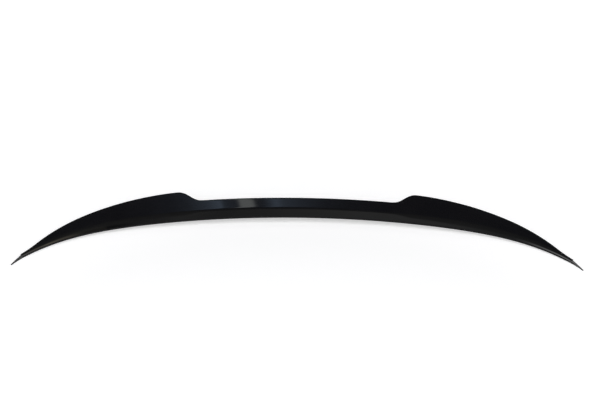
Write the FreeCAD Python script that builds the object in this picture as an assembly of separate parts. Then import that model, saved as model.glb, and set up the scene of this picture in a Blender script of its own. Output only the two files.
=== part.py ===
"""A boot-lid spoiler lip: one thin moulded shell, open below, with raised shoulders and pointed ends.

Millimetres. +X runs along the lip, +Y to the rear of the car, +Z up. The origin is the middle of the
base of the whole piece.
"""
import FreeCAD
import Part

import math
import os

# Plan and crown of the front edge
SPAN = 1200.0            # from point to point
BOW = 108.0              # how far the gentle bow brings the points forward
WRAP = 92.0              # how far the wrap round the corners brings them further
WRAP_POWER = 8.0         # how late the wrap begins
CROWN = 17.0             # how far the middle of the front edge stands above the points

# Sheet
WALL = 4.0

# Bonding land along the front, as its depth up to the crease
LAND_MIDDLE = 33.0
LAND_END = 5.0
LAND_TAPER_POWER = 3.5
LAND_ANGLE = math.radians(8.0)

# Raised lip behind the land, as its length up the slope
LIP_MIDDLE = 24.6
LIP_SHOULDER = 48.8
LIP_END = 2.0
LIP_TAPER_POWER = 1.78
LIP_RUNOUT = 17.0        # the lip has come down to LIP_END this far before its end
LIP_ANGLE = math.radians(42.0)
RISE_START = 217.0       # from the middle to where the lip begins to rise
RISE_END = 257.0         # from the middle to the full shoulder

# Crease between land and lip, as how far its bend reaches over the land and up the lip
CREASE_LAND_MIDDLE = 4.0
CREASE_LAND_SHOULDER = 17.0
CREASE_LAND_SHARE = 0.6  # the most of the land that the bend takes
CREASE_LIP = 3.5
CREASE_LIP_SHARE = 0.45  # the most of the lip that it takes

# Trailing edge and rear wall
EDGE_RADIUS = 3.0
EDGE_RADIUS_END = 1.3
EDGE_ARCS = 5
REAR_LEAN = math.radians(6.0)
PEAK_RADIUS = 1.0        # inside, under the trailing edge

# Hollow below, which runs out before the ends of the lip
HOLLOW_FULL = 102.0      # it leaves the wall's own thickness up to this far before the end
HOLLOW_END = 42.0        # and has run out this far before it

# Tongue beyond the end of the lip, out to the point
TONGUE_LENGTH = 18.0
TONGUE_SWEEP = 6.0       # how far the point turns further forward
TONGUE_INSET = 1.5       # how far its back stands in front of the rear wall
POINT_DEPTH = 1.2        # what is left of its depth and of its wall at the point
POINT_WALL = 1.4

# Sections lofted along the lip and along a tongue
LIP_STATIONS = 101
TONGUE_STATIONS = 5
DEGREE = 3

HALF_SPAN = SPAN / 2
END = HALF_SPAN - TONGUE_LENGTH
RIGHT_ANGLE = math.pi / 2
CREASE_TURN = LIP_ANGLE - LAND_ANGLE
EDGE_TURN = LIP_ANGLE + RIGHT_ANGLE + REAR_LEAN
TOE = (0.0, 0.0)         # the sheet's lower front corner, in a section


def share_of_way(start, end, s):
    return min(max((s - start) / (end - start), 0.0), 1.0)


def rise(first, last, s):
    """Goes from first to last over the rise of the shoulder, in an S."""
    share = share_of_way(RISE_START, RISE_END, s)
    return first + (last - first) * share * share * (3 - 2 * share)


def fall(first, last, start, end, power, s):
    """Goes from first to last between two places, gently at first."""
    return first + (last - first) * share_of_way(start, end, s) ** power


def land_depth(s):
    return fall(LAND_MIDDLE, LAND_END, 0, END, LAND_TAPER_POWER, s)


def lip_length(s):
    if s < RISE_END:
        return rise(LIP_MIDDLE, LIP_SHOULDER, s)
    return fall(LIP_SHOULDER, LIP_END, RISE_END, END - LIP_RUNOUT, LIP_TAPER_POWER, s)


def edge_radius(s):
    return fall(EDGE_RADIUS, EDGE_RADIUS_END, END - HOLLOW_FULL, END, 1, s)


def crease_on_land(s):
    return min(rise(CREASE_LAND_MIDDLE, CREASE_LAND_SHOULDER, s), CREASE_LAND_SHARE * land_depth(s))


def crease_on_lip(s):
    return min(CREASE_LIP, CREASE_LIP_SHARE * lip_length(s))


def move(point, angle, length):
    """A point of a section, which is its depth to the rear and its height, moved in the section."""
    depth, height = point
    return (depth + length * math.cos(angle), height + length * math.sin(angle))


def part_way(a, b, share):
    return (a[0] + (b[0] - a[0]) * share, a[1] + (b[1] - a[1]) * share)


def halves(start, corner, end):
    """A bend that leaves its start and reaches its end in line with its corner, as two strips."""
    first = part_way(start, corner, 0.5)
    last = part_way(corner, end, 0.5)
    middle = part_way(first, last, 0.5)
    return [[start, first, middle], [middle, last, end]]


def bend(start, angle, turn, radius, arcs):
    """Strips of a round bend that starts along an angle and turns away from it."""
    step = turn / arcs
    reach = radius * math.tan(abs(step) / 2)
    strips = []
    for _ in range(arcs):
        corner = move(start, angle, reach)
        angle += step
        end = move(corner, angle, reach)
        strips.append([start, corner, end])
        start = end
    return strips


def meeting(a, a_angle, b, b_angle):
    """Where the line through a along one angle meets the line through b along another."""
    apart = (b[0] - a[0]) * math.sin(b_angle) - (b[1] - a[1]) * math.cos(b_angle)
    return move(a, a_angle, apart / math.sin(b_angle - a_angle))


def skin_strips(s, base, start, below, lip_run, edge_bend):
    """Strips of one skin, from its front edge over land, crease, lip and trailing edge to its hem.

    The further it lies below the outer skin, the further back and up is the corner of its crease.
    """
    further = below * math.tan(CREASE_TURN / 2)
    land_end = move(start, LAND_ANGLE, land_depth(s) - crease_on_land(s))
    corner = move(land_end, LAND_ANGLE, crease_on_land(s) + further)
    lip_start = move(corner, LIP_ANGLE, crease_on_lip(s) + further)
    crease = halves(land_end, corner, lip_start)
    lip_end = move(lip_start, LIP_ANGLE, lip_run)
    edge = bend(lip_end, LIP_ANGLE, -EDGE_TURN, edge_bend, EDGE_ARCS)
    wall_top = edge[-1][-1]
    hem = meeting(wall_top, RIGHT_ANGLE - REAR_LEAN, (0, base), 0)
    return [[start, land_end]] + crease + [[lip_start, lip_end]] + edge + [[wall_top, hem]]


def lip_skins(s, base):
    """The outer skin, and the inner skin one wall below it, which comes down where the hollow runs out."""
    lip_run = lip_length(s) - crease_on_lip(s)
    inner_run = lip_run + (edge_radius(s) - WALL - PEAK_RADIUS) * math.tan(EDGE_TURN / 2)
    front = move(TOE, LAND_ANGLE + RIGHT_ANGLE, WALL)
    outer = skin_strips(s, base, front, 0, lip_run, edge_radius(s))
    inner = skin_strips(s, base, TOE, WALL, inner_run, PEAK_RADIUS)
    return outer, close_hollow(inner, fall(0, 1, END - HOLLOW_FULL, END - HOLLOW_END, 1, s))


def close_hollow(strips, share):
    """Brings the inner skin down towards the straight line from its toe to its hem."""
    toe = strips[0][0]
    hem = strips[-1][-1]
    closed = []
    for i, strip in enumerate(strips):
        line = [part_way(toe, hem, (i + j / (len(strip) - 1)) / len(strips)) for j in range(len(strip))]
        closed.append([part_way(point, flat, share) for point, flat in zip(strip, line)])
    return closed


def lip_section(s, base):
    """The closed section of the lip: its two skins and the two cut edges between them."""
    outer, inner = lip_skins(s, base)
    return outer + inner + [[TOE, outer[0][0]], [inner[-1][-1], outer[-1][-1]]]


def tongue_section(s, base):
    """The closed section of the tongue: the lip's end up to the land's level, drawn down to a point."""
    root_base = -front_edge(END)[0].z
    outer, inner = lip_skins(END, root_base)
    root_foot = (outer[-1][-1][0] - TONGUE_INSET, root_base)
    root_back = meeting(outer[0][0], LAND_ANGLE, root_foot, RIGHT_ANGLE - REAR_LEAN)
    depth_share = fall(1, POINT_DEPTH / root_foot[0], END, HALF_SPAN, 1, s)
    wall_share = fall(1, POINT_WALL / WALL, END, HALF_SPAN, 1, s)
    front = move(TOE, LAND_ANGLE + RIGHT_ANGLE, WALL * wall_share)
    back = (root_back[0] * depth_share, root_back[1] * wall_share)
    rear_foot = (root_foot[0] * depth_share, base)
    front_foot = (inner[-1][-1][0] * depth_share, base)
    return [[TOE, front], [front, back], [back, rear_foot], [rear_foot, front_foot], [front_foot, TOE]]


def front_edge(x):
    """The sheet's lower front corner at x, and the level direction to the rear, square to the edge."""
    share = abs(x) / HALF_SPAN
    tongue_share = share_of_way(END, HALF_SPAN, abs(x))
    y = -BOW * share ** 2 - WRAP * share ** WRAP_POWER - TONGUE_SWEEP * tongue_share ** 2
    steepness = (2 * BOW * share + WRAP_POWER * WRAP * share ** (WRAP_POWER - 1)) / HALF_SPAN
    steepness += 2 * TONGUE_SWEEP * tongue_share / TONGUE_LENGTH
    rear = FreeCAD.Vector(math.copysign(steepness, x), 1, 0)
    rear.normalize()
    return FreeCAD.Vector(x, y, CROWN * (1 - share ** 2)), rear


def control_nets(section, first, last, stations):
    """For each strip of the section, its control points at every station along the front edge."""
    rows = []
    for i in range(stations):
        x = first + (last - first) * i / (stations - 1)
        corner, rear = front_edge(x)
        row = []
        for strip in section(abs(x), -corner.z):
            row.append([corner + rear * depth + FreeCAD.Vector(0, 0, height) for depth, height in strip])
        rows.append(row)
    return list(zip(*rows))


def lofted_surface(net):
    """One strip lofted smoothly along the front edge."""
    across = len(net[0])
    knots = list(range(len(net) - DEGREE + 1))
    multiplicities = [DEGREE + 1] + [1] * (len(knots) - 2) + [DEGREE + 1]
    surface = Part.BSplineSurface()
    surface.buildFromPolesMultsKnots(
        net, multiplicities, [across, across], knots, [0, 1], False, False, DEGREE, across - 1)
    return surface


def loft(section, first, last, stations):
    """The solid that a closed section sweeps out along the front edge."""
    surfaces = [lofted_surface(net) for net in control_nets(section, first, last, stations)]
    faces = [surface.toShape() for surface in surfaces]
    start, finish = surfaces[0].bounds()[:2]
    for station in (start, finish):
        edges = [surface.uIso(station).toShape() for surface in surfaces]
        faces.append(Part.Face(Part.Wire(Part.sortEdges(edges)[0])))
    sewn = Part.makeCompound(faces)
    sewn.sewShape()
    return Part.Solid(sewn.Shells[0])


def spoiler_lip():
    lip = loft(lip_section, -END, END, LIP_STATIONS)
    right_tongue = loft(tongue_section, END, HALF_SPAN, TONGUE_STATIONS)
    left_tongue = right_tongue.mirror(FreeCAD.Vector(0, 0, 0), FreeCAD.Vector(1, 0, 0))
    body = lip.fuse([right_tongue, left_tongue]).Solids[0]
    box = body.optimalBoundingBox(False, False)
    body.translate(FreeCAD.Vector(-box.Center.x, -box.Center.y, -box.ZMin))
    return body


def main():
    os.makedirs("parts", exist_ok=True)
    spoiler_lip().exportStep("parts/spoiler_lip.step")


main()
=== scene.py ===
"""A gloss black boot-lid spoiler lip on a pale floor, in soft studio light.

The lip's own sizes are in millimetres, everything else is in metres.
"""

import math

import bmesh
import bpy
import numpy as np
from mathutils import Matrix, Vector


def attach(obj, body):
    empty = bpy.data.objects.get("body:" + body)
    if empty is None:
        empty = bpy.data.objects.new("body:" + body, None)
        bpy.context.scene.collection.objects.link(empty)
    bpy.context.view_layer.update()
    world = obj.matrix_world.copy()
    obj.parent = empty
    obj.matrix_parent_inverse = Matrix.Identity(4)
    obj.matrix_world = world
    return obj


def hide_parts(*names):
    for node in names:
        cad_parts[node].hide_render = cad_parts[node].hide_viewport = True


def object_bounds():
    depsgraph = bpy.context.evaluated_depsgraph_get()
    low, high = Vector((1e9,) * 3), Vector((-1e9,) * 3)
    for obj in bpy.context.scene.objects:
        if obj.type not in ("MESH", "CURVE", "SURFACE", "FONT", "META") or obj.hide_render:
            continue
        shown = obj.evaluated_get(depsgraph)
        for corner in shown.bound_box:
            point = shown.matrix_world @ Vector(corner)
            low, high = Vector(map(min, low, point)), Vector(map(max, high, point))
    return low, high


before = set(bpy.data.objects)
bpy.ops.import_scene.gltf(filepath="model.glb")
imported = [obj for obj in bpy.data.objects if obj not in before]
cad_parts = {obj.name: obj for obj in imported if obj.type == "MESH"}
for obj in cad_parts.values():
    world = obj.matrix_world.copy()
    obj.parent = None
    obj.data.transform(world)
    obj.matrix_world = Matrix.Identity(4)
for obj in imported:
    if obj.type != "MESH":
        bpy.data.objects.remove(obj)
cad_low, cad_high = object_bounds()

# Plan and crown of the front edge
SPAN = 1200.0
BOW = 108.0
WRAP = 92.0
WRAP_POWER = 8.0
CROWN = 17.0

# Sheet
WALL = 4.0
EDGE_BREAK = 0.5         # rounding of the trimmed edges

# Bonding land along the front, as its depth up to the crease
LAND_MIDDLE = 33.0
LAND_END = 5.0
LAND_TAPER_POWER = 3.5
LAND_ANGLE = math.radians(8.0)

# Raised lip behind the land, as its length up the slope
LIP_MIDDLE = 24.6
LIP_SHOULDER = 48.8
LIP_END = 2.0
LIP_TAPER_POWER = 1.78
LIP_RUNOUT = 17.0
LIP_ANGLE = math.radians(42.0)
RISE_START = 217.0
RISE_END = 257.0

# Crease between land and lip, as how far its bend reaches over the land and up the lip
CREASE_LAND_MIDDLE = 4.0
CREASE_LAND_SHOULDER = 17.0
CREASE_LAND_SHARE = 0.6
CREASE_LIP = 3.5
CREASE_LIP_SHARE = 0.45

# Trailing edge and rear wall
EDGE_RADIUS = 3.0
EDGE_RADIUS_END = 1.3
EDGE_ARCS = 5
REAR_LEAN = math.radians(6.0)
PEAK_RADIUS = 1.0

# Hollow below, and the tongue beyond the end of the lip
HOLLOW_FULL = 102.0
HOLLOW_END = 42.0
TONGUE_LENGTH = 18.0
TONGUE_SWEEP = 6.0
TONGUE_INSET = 1.5
POINT_DEPTH = 1.2
POINT_WALL = 1.4

# Stations that carry the loft, and the finer rings of the mesh
LIP_STATIONS = 101
DEGREE = 3
LIP_RINGS = 641
TONGUE_STATIONS = 5
TONGUE_RINGS = 25

HALF_SPAN = SPAN / 2
END = HALF_SPAN - TONGUE_LENGTH
RIGHT_ANGLE = math.pi / 2
CREASE_TURN = LIP_ANGLE - LAND_ANGLE
EDGE_TURN = LIP_ANGLE + RIGHT_ANGLE + REAR_LEAN
MOST_BROKEN = 0.4        # the most of a short straight that the rounding of its corner takes
TOE = np.zeros(2)

# Finishes, in the order of the mesh's material slots
GLOSS, GRAINED, TRIMMED = range(3)

# Segments across each strip, on the outer and on the inner skin, and across the edges between the skins
OUTER, INNER = range(2)
LAND_SEGMENTS = (10, 8)
CREASE_SEGMENTS = (5, 3)
LIP_SEGMENTS = (14, 10)
EDGE_SEGMENTS = (3, 2)
REAR_SEGMENTS = (10, 8)
BREAK_SEGMENTS = 3
CUT_SEGMENTS = 2
CREASE_STRIPS = 2
LIP_STRIP = CREASE_STRIPS + 1            # where the lip comes among the strips of a skin

MERGE = 2e-6                             # points this close are one, in metres
SHARP = math.radians(40)                 # edges that turn more than this aren't shaded smooth


# The section and how it changes along the lip

def share_of_way(start, end, s):
    return min(max((s - start) / (end - start), 0.0), 1.0)


def rise(first, last, s):
    """Goes from first to last over the rise of the shoulder, in an S."""
    share = share_of_way(RISE_START, RISE_END, s)
    return first + (last - first) * share * share * (3 - 2 * share)


def fall(first, last, start, end, power, s):
    """Goes from first to last between two places, gently at first."""
    return first + (last - first) * share_of_way(start, end, s) ** power


def land_depth(s):
    return fall(LAND_MIDDLE, LAND_END, 0, END, LAND_TAPER_POWER, s)


def lip_length(s):
    if s < RISE_END:
        return rise(LIP_MIDDLE, LIP_SHOULDER, s)
    return fall(LIP_SHOULDER, LIP_END, RISE_END, END - LIP_RUNOUT, LIP_TAPER_POWER, s)


def edge_radius(s):
    return fall(EDGE_RADIUS, EDGE_RADIUS_END, END - HOLLOW_FULL, END, 1, s)


def crease_on_land(s):
    return min(rise(CREASE_LAND_MIDDLE, CREASE_LAND_SHOULDER, s), CREASE_LAND_SHARE * land_depth(s))


def crease_on_lip(s):
    return min(CREASE_LIP, CREASE_LIP_SHARE * lip_length(s))


def move(point, angle, length):
    return point + length * np.array((math.cos(angle), math.sin(angle)))


def halves(start, corner, end):
    """A bend that leaves its start and reaches its end in line with its corner, as two strips."""
    first = (start + corner) / 2
    last = (corner + end) / 2
    middle = (first + last) / 2
    return [[start, first, middle], [middle, last, end]]


def bend(start, angle, turn, radius, arcs):
    """Strips of a round bend that starts along an angle and turns away from it."""
    step = turn / arcs
    reach = radius * math.tan(abs(step) / 2)
    strips = []
    for _ in range(arcs):
        corner = move(start, angle, reach)
        angle += step
        end = move(corner, angle, reach)
        strips.append([start, corner, end])
        start = end
    return strips


def meeting(a, a_angle, b, b_angle):
    """Where the line through a along one angle meets the line through b along another."""
    apart = (b[0] - a[0]) * math.sin(b_angle) - (b[1] - a[1]) * math.cos(b_angle)
    return move(a, a_angle, apart / math.sin(b_angle - a_angle))


def skin_strips(s, base, start, below, lip_run, edge_bend):
    """Strips of one skin, from its front edge over land, crease, lip and trailing edge to its hem.

    The further it lies below the outer skin, the further back and up is the corner of its crease.
    """
    further = below * math.tan(CREASE_TURN / 2)
    land_end = move(start, LAND_ANGLE, land_depth(s) - crease_on_land(s))
    corner = move(land_end, LAND_ANGLE, crease_on_land(s) + further)
    lip_start = move(corner, LIP_ANGLE, crease_on_lip(s) + further)
    crease = halves(land_end, corner, lip_start)
    lip_end = move(lip_start, LIP_ANGLE, lip_run)
    edge = bend(lip_end, LIP_ANGLE, -EDGE_TURN, edge_bend, EDGE_ARCS)
    wall_top = edge[-1][-1]
    hem = meeting(wall_top, RIGHT_ANGLE - REAR_LEAN, np.array((0, base)), 0)
    return [[start, land_end]] + crease + [[lip_start, lip_end]] + edge + [[wall_top, hem]]


def straightened(strips, start, end, share):
    """The strips brought part of the way to a straight line from start to end."""
    count = len(strips)
    straight = []
    for i, strip in enumerate(strips):
        places = (i + np.linspace(0, 1, len(strip))) / count
        straight.append([p + (start + (end - start) * t - p) * share for p, t in zip(strip, places)])
    return straight


def break_corner(before, after):
    """Rounds the corner between two straight strips, and returns all three."""
    corner = before[1]
    ends = []
    for far in (before[0], after[1]):
        away = far - corner
        length = max(np.linalg.norm(away), EDGE_BREAK / MOST_BROKEN)
        ends.append(corner + away * EDGE_BREAK / length)
    return [before[0], ends[0]], [ends[0], corner, ends[1]], [ends[1], after[1]]


def close_ring(outer, inner):
    """One closed ring of strips: outer skin, rear hem, inner skin back to the front, and front edge."""
    inner = [strip[::-1] for strip in reversed(inner)]
    hem_cut = [outer[-1][-1], inner[0][0]]
    front_cut = [inner[-1][-1], outer[0][0]]
    outer[-1], outer_hem, hem_cut = break_corner(outer[-1], hem_cut)
    hem_cut, inner_hem, inner[0] = break_corner(hem_cut, inner[0])
    inner[-1], toe, front_cut = break_corner(inner[-1], front_cut)
    front_cut, front, outer[0] = break_corner(front_cut, outer[0])
    return [front] + outer + [outer_hem, hem_cut, inner_hem] + inner + [toe, front_cut]


def lip_skins(s, base):
    """Outer and inner skin of the lip, with the inner one brought down where the hollow runs out."""
    lip_run = lip_length(s) - crease_on_lip(s)
    inner_run = lip_run + (edge_radius(s) - WALL - PEAK_RADIUS) * math.tan(EDGE_TURN / 2)
    front = move(TOE, LAND_ANGLE + RIGHT_ANGLE, WALL)
    outer = skin_strips(s, base, front, 0, lip_run, edge_radius(s))
    inner = skin_strips(s, base, TOE, WALL, inner_run, PEAK_RADIUS)
    closing = fall(0, 1, END - HOLLOW_FULL, END - HOLLOW_END, 1, s)
    return outer, straightened(inner, inner[0][0], inner[-1][-1], closing)


def lip_ring(s, base):
    return close_ring(*lip_skins(s, base))


def tongue_corners(s, base):
    """Front, knee, back and the two feet of the tongue's section, which is drawn down to a point."""
    root_base = -front_edge(END)[0][2]
    outer, inner = lip_skins(END, root_base)
    root_foot = np.array((outer[-1][-1][0] - TONGUE_INSET, root_base))
    root_back = meeting(outer[0][0], LAND_ANGLE, root_foot, RIGHT_ANGLE - REAR_LEAN)
    depth_share = fall(1, POINT_DEPTH / root_foot[0], END, HALF_SPAN, 1, s)
    wall_share = fall(1, POINT_WALL / WALL, END, HALF_SPAN, 1, s)
    front = move(TOE, LAND_ANGLE + RIGHT_ANGLE, WALL * wall_share)
    back = root_back * (depth_share, wall_share)
    knee_share = (outer[0][1][0] - outer[0][0][0]) / (root_back[0] - outer[0][0][0])
    rear_foot = np.array((root_foot[0] * depth_share, base))
    front_foot = np.array((inner[-1][-1][0] * depth_share, base))
    return front, front + (back - front) * knee_share, back, rear_foot, front_foot


def tongue_ring(s, base):
    """The ring of the tongue, with as many strips as the lip's, so that the two join at the step."""
    outer, inner = lip_skins(END, base)
    front, knee, back, rear_foot, front_foot = tongue_corners(s, base)
    top = straightened(outer[1:LIP_STRIP + 1], knee, back, 1)
    top[-1], corner, fall_off = break_corner(top[-1], [back, rear_foot])
    rest = [[corner[-1]] * len(corner)] * (EDGE_ARCS - 1)
    return close_ring(
        [[front, knee]] + top + [corner] + rest + [fall_off], straightened(inner, TOE, front_foot, 1))


# The mesh

def front_edge(x):
    """The sheet's lower front corner at x, and the level direction to the rear, square to the edge."""
    share = abs(x) / HALF_SPAN
    tongue_share = share_of_way(END, HALF_SPAN, abs(x))
    y = -BOW * share ** 2 - WRAP * share ** WRAP_POWER - TONGUE_SWEEP * tongue_share ** 2
    steepness = (2 * BOW * share + WRAP_POWER * WRAP * share ** (WRAP_POWER - 1)) / HALF_SPAN
    steepness += 2 * TONGUE_SWEEP * tongue_share / TONGUE_LENGTH
    rear = np.array((math.copysign(steepness, x), 1, 0))
    return np.array((x, y, CROWN * (1 - share ** 2))), rear / np.linalg.norm(rear)


def nets(ring, places):
    """For each strip of the ring, its control points at every place along the front edge."""
    rows = []
    for x in places:
        corner, rear = front_edge(x)
        strips = ring(abs(x), -corner[2])
        rows.append([[corner + rear * p[0] + np.array((0, 0, p[1])) for p in strip] for strip in strips])
    return [np.array(net) for net in zip(*rows)]


def spline_weights(count, samples):
    """How much each control point of a clamped even spline counts at each sample along it."""
    spans = count - DEGREE
    knots = np.concatenate([np.zeros(DEGREE), np.arange(spans + 1), np.full(DEGREE, spans)])
    along = np.linspace(0, spans, samples)
    span = np.minimum(along.astype(int), spans - 1) + DEGREE
    weights = np.eye(len(knots) - 1)[span]
    for degree in range(1, DEGREE + 1):
        last = len(knots) - 1 - degree
        width = knots[degree:degree + last + 1] - knots[:last + 1]
        part = np.divide(
            along[:, None] - knots[:last + 1], width, out=np.zeros((samples, last + 1)), where=width > 0)
        rest = np.where(width[1:] > 0, 1 - part[:, 1:], 0)
        weights = part[:, :-1] * weights[:, :-1] + rest * weights[:, 1:]
    return weights


def across(net, segments):
    """Points across one strip, without its last, which the next strip starts with."""
    t = np.arange(segments)[:, None] / segments
    if net.shape[1] == 2:
        weights = np.hstack([1 - t, t])
    else:
        weights = np.hstack([(1 - t) ** 2, 2 * t * (1 - t), t ** 2])
    return np.einsum("sc,rcx->rsx", weights, net)


def skin_segments(skin):
    """Segments across the strips of a skin, from its front edge to its hem."""
    return (
        [LAND_SEGMENTS[skin]] + [CREASE_SEGMENTS[skin]] * CREASE_STRIPS + [LIP_SEGMENTS[skin]]
        + [EDGE_SEGMENTS[skin]] * EDGE_ARCS + [REAR_SEGMENTS[skin]])


def ring_layout():
    """Segments across each strip of a closed ring, in order round it, with the strip's finish."""
    outer = [(segments, GLOSS) for segments in skin_segments(OUTER)]
    inner = [(segments, GRAINED) for segments in reversed(skin_segments(INNER))]
    rounding = [(BREAK_SEGMENTS, TRIMMED)]
    cut = [(CUT_SEGMENTS, TRIMMED)]
    return rounding + outer + rounding + cut + rounding + inner + rounding + cut


def rings_of(all_nets):
    """Rings of points along the lip, from the nets of a ring's strips."""
    return np.concatenate(
        [across(net, segments) for net, (segments, _) in zip(all_nets, ring_layout())], axis=1)


def lofted_rings(ring, first, last, stations, samples):
    """Rings of points along a smooth loft through the ring's stations."""
    weights = spline_weights(stations, samples)
    carried = nets(ring, np.linspace(first, last, stations))
    return rings_of([np.einsum("rs,scx->rcx", weights, net) for net in carried])


def lip_points():
    """The mesh's points, ring by ring from the left point to the right one, set into the CAD box."""
    tongue = lofted_rings(tongue_ring, END, HALF_SPAN, TONGUE_STATIONS, TONGUE_RINGS)
    left_tongue = tongue[::-1] * (-1, 1, 1)
    rings = np.concatenate([left_tongue, lofted_rings(lip_ring, -END, END, LIP_STATIONS, LIP_RINGS), tongue])
    low, high = rings.min(axis=(0, 1)), rings.max(axis=(0, 1))
    return np.array(cad_low) + (rings - low) / (high - low) * (np.array(cad_high) - np.array(cad_low))


def make_lip():
    """One closed mesh, with a finish for each strip of its section."""
    points = lip_points()
    count, size = points.shape[:2]
    finishes = [finish for segments, finish in ring_layout() for _ in range(segments)]
    build = bmesh.new()
    verts = [build.verts.new(p) for p in points.reshape(-1, 3)]
    for start in range(0, (count - 1) * size, size):
        for i, finish in enumerate(finishes):
            after = (i + 1) % size
            corners = (start + i, start + after, start + size + after, start + size + i)
            face = build.faces.new([verts[c] for c in corners])
            face.material_index = finish
            face.smooth = True
    for end in (verts[:size], verts[-size:]):
        build.faces.new(end).material_index = TRIMMED
    bmesh.ops.remove_doubles(build, verts=build.verts, dist=MERGE)
    bmesh.ops.dissolve_degenerate(build, edges=build.edges, dist=MERGE)
    bmesh.ops.recalc_face_normals(build, faces=build.faces)
    mesh = bpy.data.meshes.new("spoiler_lip_shell")
    build.to_mesh(mesh)
    build.free()
    mesh.set_sharp_from_angle(angle=SHARP)

    lip = bpy.data.objects.new("spoiler_lip_shell", mesh)
    bpy.context.collection.objects.link(lip)
    weighted = lip.modifiers.new("even_shading", "WEIGHTED_NORMAL")
    weighted.keep_sharp = True
    return lip


# Materials

NOISE_RANGE = (0.3, 0.7)                 # where most of a noise lies


def new_material(name):
    """A material with its nodes, its links and its shader."""
    material = bpy.data.materials.new(name)
    material.use_nodes = True
    nodes = material.node_tree.nodes
    return material, nodes, material.node_tree.links, nodes["Principled BSDF"]


def noise(nodes, links, scale, detail=2.0):
    """A noise in the part's own frame, with so many grains to the metre."""
    place = nodes.new("ShaderNodeTexCoord")
    texture = nodes.new("ShaderNodeTexNoise")
    texture.inputs["Scale"].default_value = scale
    texture.inputs["Detail"].default_value = detail
    links.new(place.outputs["Object"], texture.inputs["Vector"])
    return texture.outputs["Fac"]


def spread_values(nodes, links, value, given, wanted):
    """A value's given range spread over the wanted one."""
    spread = nodes.new("ShaderNodeMapRange")
    for name, number in zip(("From Min", "From Max", "To Min", "To Max"), (*given, *wanted)):
        spread.inputs[name].default_value = number
    links.new(value, spread.inputs["Value"])
    return spread.outputs["Result"]


def mottle(nodes, links, value, first, last, given=NOISE_RANGE):
    """A colour between first and last, by where the value lies in its given range."""
    ramp = nodes.new("ShaderNodeValToRGB")
    for end, position, colour in zip(ramp.color_ramp.elements, given, (first, last)):
        end.position = position
        end.color = (*colour, 1)
    links.new(value, ramp.inputs["Fac"])
    return ramp.outputs["Color"]


def bump(nodes, links, height, depth, under=None):
    """A relief so many metres deep, laid over another where that is given."""
    node = nodes.new("ShaderNodeBump")
    node.inputs["Distance"].default_value = depth
    links.new(height, node.inputs["Height"])
    if under is not None:
        links.new(under, node.inputs["Normal"])
    return node.outputs["Normal"]


def gloss_black():
    """The polished outside: faintly wavy from the mould, with orange peel."""
    material, nodes, links, shader = new_material("gloss_black_plastic")
    cloud = noise(nodes, links, scale=14.0, detail=3.0)
    peel = noise(nodes, links, scale=380.0)
    wave = noise(nodes, links, scale=16.0, detail=1.0)
    tone = mottle(nodes, links, cloud, first=(0.0030, 0.0030, 0.0033), last=(0.0042, 0.0042, 0.0045))
    links.new(tone, shader.inputs["Base Color"])
    polish = spread_values(nodes, links, cloud, given=NOISE_RANGE, wanted=(0.016, 0.022))
    links.new(polish, shader.inputs["Roughness"])
    formed = bump(nodes, links, wave, depth=0.000004)
    links.new(bump(nodes, links, peel, depth=0.0000002, under=formed), shader.inputs["Normal"])
    shader.inputs["IOR"].default_value = 1.5
    return material


def grained_black():
    """The underside, with the grain of the mould."""
    material, nodes, links, shader = new_material("grained_black_plastic")
    cloud = noise(nodes, links, scale=20.0, detail=4.0)
    grain = noise(nodes, links, scale=1400.0)
    tone = mottle(nodes, links, cloud, first=(0.011, 0.011, 0.012), last=(0.017, 0.017, 0.018))
    links.new(tone, shader.inputs["Base Color"])
    dullness = spread_values(nodes, links, cloud, given=NOISE_RANGE, wanted=(0.5, 0.65))
    links.new(dullness, shader.inputs["Roughness"])
    links.new(bump(nodes, links, grain, depth=0.00006), shader.inputs["Normal"])
    return material


def trimmed_black():
    """The trimmed edges, dull and finely scored."""
    material, nodes, links, shader = new_material("trimmed_black_plastic")
    cloud = noise(nodes, links, scale=60.0, detail=4.0)
    marks = noise(nodes, links, scale=900.0, detail=3.0)
    tone = mottle(nodes, links, cloud, first=(0.006, 0.006, 0.0065), last=(0.010, 0.010, 0.0105))
    links.new(tone, shader.inputs["Base Color"])
    dullness = spread_values(nodes, links, marks, given=NOISE_RANGE, wanted=(0.45, 0.65))
    links.new(dullness, shader.inputs["Roughness"])
    links.new(bump(nodes, links, marks, depth=0.00003), shader.inputs["Normal"])
    shader.inputs["Specular IOR Level"].default_value = 0.1
    return material


# Stage

FLOOR_REACH = 9.0
CORNER_RADIUS = 2.0
BACKDROP_HEIGHT = 4.0
BACKDROP_SIDES = 96
CORNER_STEPS = 12
PAPER_GREY = 0.65
GLOW_MIDDLE = (0.0, -0.6, 0.0)
GLOW_DISTANCES = (0.6, 2.0)              # from GLOW_MIDDLE
GLOW_LEVELS = (0.48, 1.0)                # what the paper adds at these distances to the light on it


def math_node(nodes, links, operation, first, second):
    """What an operation makes of two values, each of them a number or another node's output."""
    node = nodes.new("ShaderNodeMath")
    node.operation = operation
    for socket, value in zip(node.inputs, (first, second)):
        if isinstance(value, (int, float)):
            socket.default_value = value
        else:
            links.new(value, socket)
    return node.outputs["Value"]


def seen_ray(nodes, links):
    """1 for a ray that shows the backdrop itself, straight, mirrored or through glass, and 0 for others."""
    path = nodes.new("ShaderNodeLightPath")
    mirrored = math_node(
        nodes, links, "MAXIMUM", path.outputs["Is Glossy Ray"], path.outputs["Is Transmission Ray"])
    return math_node(nodes, links, "MAXIMUM", path.outputs["Is Camera Ray"], mirrored)


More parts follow.
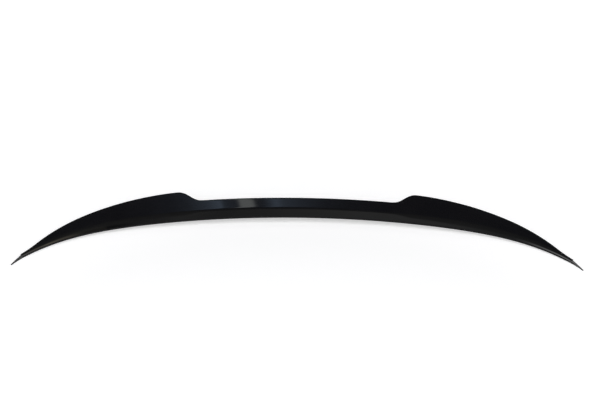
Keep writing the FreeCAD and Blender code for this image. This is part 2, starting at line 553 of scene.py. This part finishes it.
def pale_paper():
    """Pale paper that looks white, and glows less near the object, so that its shadow stays."""
    material, nodes, links, shader = new_material("pale_paper")
    shader.inputs["Base Color"].default_value = (PAPER_GREY, PAPER_GREY, PAPER_GREY, 1)
    shader.inputs["Roughness"].default_value = 1.0
    shader.inputs["Specular IOR Level"].default_value = 0.0
    shader.inputs["Emission Color"].default_value = (1, 1, 1, 1)
    place = nodes.new("ShaderNodeTexCoord")
    distance = nodes.new("ShaderNodeVectorMath")
    distance.operation = "DISTANCE"
    links.new(place.outputs["Object"], distance.inputs[0])
    distance.inputs[1].default_value = GLOW_MIDDLE
    glow = spread_values(nodes, links, distance.outputs["Value"], GLOW_DISTANCES, GLOW_LEVELS)
    seen = math_node(nodes, links, "MULTIPLY", glow, seen_ray(nodes, links))
    links.new(seen, shader.inputs["Emission Strength"])
    return material


def make_backdrop():
    """A round floor that curves up into a low wall."""
    profile = [(0.0, 0.0)]
    for i in range(CORNER_STEPS + 1):
        turn = RIGHT_ANGLE * i / CORNER_STEPS
        profile.append((FLOOR_REACH + CORNER_RADIUS * math.sin(turn), CORNER_RADIUS * (1 - math.cos(turn))))
    profile.append((FLOOR_REACH + CORNER_RADIUS, BACKDROP_HEIGHT))
    mesh = bpy.data.meshes.new("backdrop")
    build = bmesh.new()
    verts = [build.verts.new((reach, 0, height)) for reach, height in profile]
    edges = [build.edges.new(pair) for pair in zip(verts, verts[1:])]
    bmesh.ops.spin(
        build, geom=verts + edges, axis=(0, 0, 1), cent=(0, 0, 0), angle=2 * math.pi,
        steps=BACKDROP_SIDES, use_merge=True)
    bmesh.ops.remove_doubles(build, verts=build.verts, dist=MERGE)
    for face in build.faces:
        face.smooth = True
    build.to_mesh(mesh)
    build.free()
    backdrop = bpy.data.objects.new("backdrop", mesh)
    backdrop.data.materials.append(pale_paper())
    bpy.context.collection.objects.link(backdrop)


# Light

SOFTBOX = 3.0                            # how bright the softboxes are to look at, with white as 1
SOFTBOX_SIZE = (2.3, 2.8)
SOFTBOX_FADE = 0.22                      # the share of their size over which they fade out to each edge
SOFTBOX_RANGE = 3.0
SOFTBOX_ELEVATION = math.radians(36)
SOFTBOX_AZIMUTHS = {"left": math.radians(-42), "front": 0.0, "right": math.radians(42)}

# The dim room, by the Y of a direction, and at its back by the X too, as places each with its level
ROOM_FRONT = (0.058, 0.058, 0.078)
ROOM_TOP = (0.095, 0.095, 0.095)
ROOM_BACK = [(-0.133, 0.02), (-0.120, 0.095), (-0.085, 0.16), (-0.04, 0.12), (0.08, 0.21)]
FRONT_TO_TOP = (0.0, 0.4)
TOP_TO_BACK = (0.70, 0.725)
MIX_FIRST, MIX_LAST, MIX_COLOUR = 6, 7, 2    # sockets of a mix of colours

# Lamps whose brightness changes across them, as places along X, each with the level and tint added there
MIDDLE = 0.5                             # of a lamp or a ramp, whose ends are 0 and 1
WINDOW_HEIGHT = 10.0
WINDOW_MIDDLE_Y = -3.35
WINDOW_DEPTH = 1.2
WINDOW_FADE = 0.08
SKY = (0.76, 1.0, 1.35)
PANE = (0.95, 1.0, 0.99)
WINDOW = [
    (-0.06, 0.0, SKY), (0.127, 0.024, SKY), (0.213, 0.08, SKY), (0.275, 0.246, SKY), (0.318, 0.43, SKY),
    (0.331, 0.87, SKY), (0.352, 0.34, SKY), (0.372, 0.10, SKY), (0.399, 0.10, SKY), (0.400, 1.68, PANE),
    (0.452, 1.73, PANE), (0.453, 0.15, SKY), (0.476, 0.17, SKY), (0.528, 0.28, SKY), (0.530, 0.90, SKY),
    (0.592, 0.52, SKY), (0.634, 0.374, SKY), (0.739, 0.155, SKY), (0.88, 0.075, SKY), (1.215, 0.024, SKY),
    (1.95, 0.0, SKY)]
WALL_Y = 1.5
WALL_MIDDLE_Z = 1.8
WALL_HEIGHT = 1.8
WALL_FADE = 0.25
WARM = (1.1, 1.0, 0.78)
NEUTRAL = (1.0, 1.0, 1.0)
LEFT_WALL = [
    (-0.70, 0.06, WARM), (-0.76, 0.06, WARM), (-0.80, 0.50, WARM), (-0.811, 0.80, WARM), (-0.822, 0.45, WARM),
    (-0.833, 1.1, NEUTRAL), (-0.90, 1.1, NEUTRAL), (-1.35, 0.0, NEUTRAL)]
RIGHT_WALL = [
    (1.46, 0.0, NEUTRAL), (1.02, 1.9, NEUTRAL), (0.946, 1.8, NEUTRAL), (0.929, 0.9, NEUTRAL),
    (0.905, 0.2, NEUTRAL), (0.88, 0.0, NEUTRAL)]


def toward(azimuth, elevation):
    """A direction, by its azimuth from the front towards the right and its elevation."""
    level = math.cos(elevation)
    return Vector((math.sin(azimuth) * level, -math.cos(azimuth) * level, math.sin(elevation)))


def add_panel(name, place, target, size, radiance):
    """A rectangular lamp that faces a point, as bright to look at as its radiance says."""
    lamp = bpy.data.lights.new(name, "AREA")
    lamp.shape = "RECTANGLE"
    lamp.size, lamp.size_y = size
    lamp.energy = radiance * math.pi * size[0] * size[1]
    panel = bpy.data.objects.new(name, lamp)
    panel.location = place
    panel.rotation_euler = (Vector(target) - Vector(place)).to_track_quat("-Z", "Y").to_euler()
    bpy.context.collection.objects.link(panel)
    return lamp


def set_stops(ramp, stops):
    """Spreads stops of place, level and tint over a colour ramp."""
    elements = ramp.color_ramp.elements
    while len(elements) < len(stops):
        elements.new(MIDDLE)
    first, last = stops[0][0], stops[-1][0]
    for element, (place, level, tint) in zip(elements, stops):
        element.position = (place - first) / (last - first)
        element.color = (*[level * part for part in tint], 1)


def split_lamp(lamp):
    """A lamp's nodes and links, and the place across it, from 0 to 1 each way."""
    lamp.use_nodes = True
    nodes, links = lamp.node_tree.nodes, lamp.node_tree.links
    across_lamp = nodes.new("ShaderNodeNewGeometry")
    place = nodes.new("ShaderNodeSeparateXYZ")
    links.new(across_lamp.outputs["Parametric"], place.inputs["Vector"])
    return nodes, links, place


def faded(nodes, links, place, share):
    """1 in the middle of a lamp, falling to 0 at two of its edges over a share of the way between them."""
    from_edge = math_node(nodes, links, "PINGPONG", place, MIDDLE)
    return spread_values(nodes, links, from_edge, (0, share), (0, 1))


def soften(lamp, share):
    """Makes a lamp fade out to its four edges."""
    nodes, links, place = split_lamp(lamp)
    levels = [faded(nodes, links, place.outputs[axis], share) for axis in ("X", "Y")]
    links.new(math_node(nodes, links, "MULTIPLY", *levels), nodes["Emission"].inputs["Strength"])


def grade(lamp, stops, share):
    """Makes a lamp of radiance 1 brighter and dimmer from its first stop to its last, by level and tint.

    It fades out to its two other edges.
    """
    nodes, links, place = split_lamp(lamp)
    ramp = nodes.new("ShaderNodeValToRGB")
    brightest = max(level * max(tint) for _, level, tint in stops)
    set_stops(ramp, [(x, level / brightest, tint) for x, level, tint in stops])
    links.new(place.outputs["X"], ramp.inputs["Fac"])
    links.new(ramp.outputs["Color"], nodes["Emission"].inputs["Color"])
    level = math_node(nodes, links, "MULTIPLY", faded(nodes, links, place.outputs["Y"], share), brightest)
    links.new(level, nodes["Emission"].inputs["Strength"])


def add_softboxes():
    """Softboxes round the front, all turned to the object."""
    for side, azimuth in SOFTBOX_AZIMUTHS.items():
        place = SOFTBOX_RANGE * toward(azimuth, SOFTBOX_ELEVATION)
        soften(add_panel(f"softbox_{side}", place, (0, 0, 0), SOFTBOX_SIZE, SOFTBOX), SOFTBOX_FADE)


def add_wall(name, stops):
    """A wall behind that the points mirror to the camera. Its stops run from right to left."""
    right, left = stops[0][0], stops[-1][0]
    middle = ((right + left) / 2, WALL_Y, WALL_MIDDLE_Z)
    ahead = (middle[0], 0, middle[2])
    grade(add_panel(name, middle, ahead, (right - left, WALL_HEIGHT), radiance=1), stops, WALL_FADE)


def add_window():
    """A far window overhead that the sloping face mirrors to the camera."""
    left, right = WINDOW[0][0], WINDOW[-1][0]
    middle = ((left + right) / 2, WINDOW_MIDDLE_Y, WINDOW_HEIGHT)
    below = (middle[0], middle[1], 0)
    grade(add_panel("window", middle, below, (right - left, WINDOW_DEPTH), radiance=1), WINDOW, WINDOW_FADE)


def make_room():
    """A dim room for the gloss to mirror."""
    world = bpy.data.worlds.new("dim_room")
    world.use_nodes = True
    nodes, links = world.node_tree.nodes, world.node_tree.links
    direction = nodes.new("ShaderNodeTexCoord")
    split = nodes.new("ShaderNodeSeparateXYZ")
    links.new(direction.outputs["Generated"], split.inputs["Vector"])
    ahead = mottle(nodes, links, split.outputs["Y"], ROOM_FRONT, ROOM_TOP, FRONT_TO_TOP)
    behind = nodes.new("ShaderNodeValToRGB")
    set_stops(behind, [(place, level, NEUTRAL) for place, level in ROOM_BACK])
    sideways = (ROOM_BACK[0][0], ROOM_BACK[-1][0])
    links.new(spread_values(nodes, links, split.outputs["X"], sideways, (0, 1)), behind.inputs["Fac"])
    mix = nodes.new("ShaderNodeMix")
    mix.data_type = "RGBA"
    links.new(spread_values(nodes, links, split.outputs["Y"], TOP_TO_BACK, (0, 1)), mix.inputs["Factor"])
    links.new(ahead, mix.inputs[MIX_FIRST])
    links.new(behind.outputs["Color"], mix.inputs[MIX_LAST])
    links.new(mix.outputs[MIX_COLOUR], nodes["Background"].inputs["Color"])
    bpy.context.scene.world = world


# Camera

CAMERA_ELEVATION = math.radians(25.0)
CAMERA_AZIMUTH = math.radians(-1.834)
CAMERA_RANGE = 2.4
CAMERA_ROLL = math.radians(1.439)
CAMERA_LENS = 64.01                      # in millimetres
CAMERA_TARGET = Vector((0.0044, 0.0757, 0.0616))


def add_camera():
    """A camera that looks at its target from the front, from above and a little aslant."""
    camera = bpy.data.objects.new("camera", bpy.data.cameras.new("camera"))
    camera.data.lens = CAMERA_LENS
    back = toward(CAMERA_AZIMUTH, CAMERA_ELEVATION)
    turn = (-back).to_track_quat("-Z", "Y").to_matrix().to_4x4() @ Matrix.Rotation(CAMERA_ROLL, 4, "Z")
    camera.matrix_world = Matrix.Translation(CAMERA_TARGET + back * CAMERA_RANGE) @ turn
    bpy.context.collection.objects.link(camera)
    bpy.context.scene.camera = camera


lip = make_lip()
for material in (gloss_black(), grained_black(), trimmed_black()):
    lip.data.materials.append(material)
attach(lip, "root")
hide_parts("spoiler_lip")
make_backdrop()
make_room()
add_softboxes()
add_wall("wall_left", LEFT_WALL)
add_wall("wall_right", RIGHT_WALL)
add_window()
add_camera()
bpy.context.scene.view_settings.view_transform = "Standard"
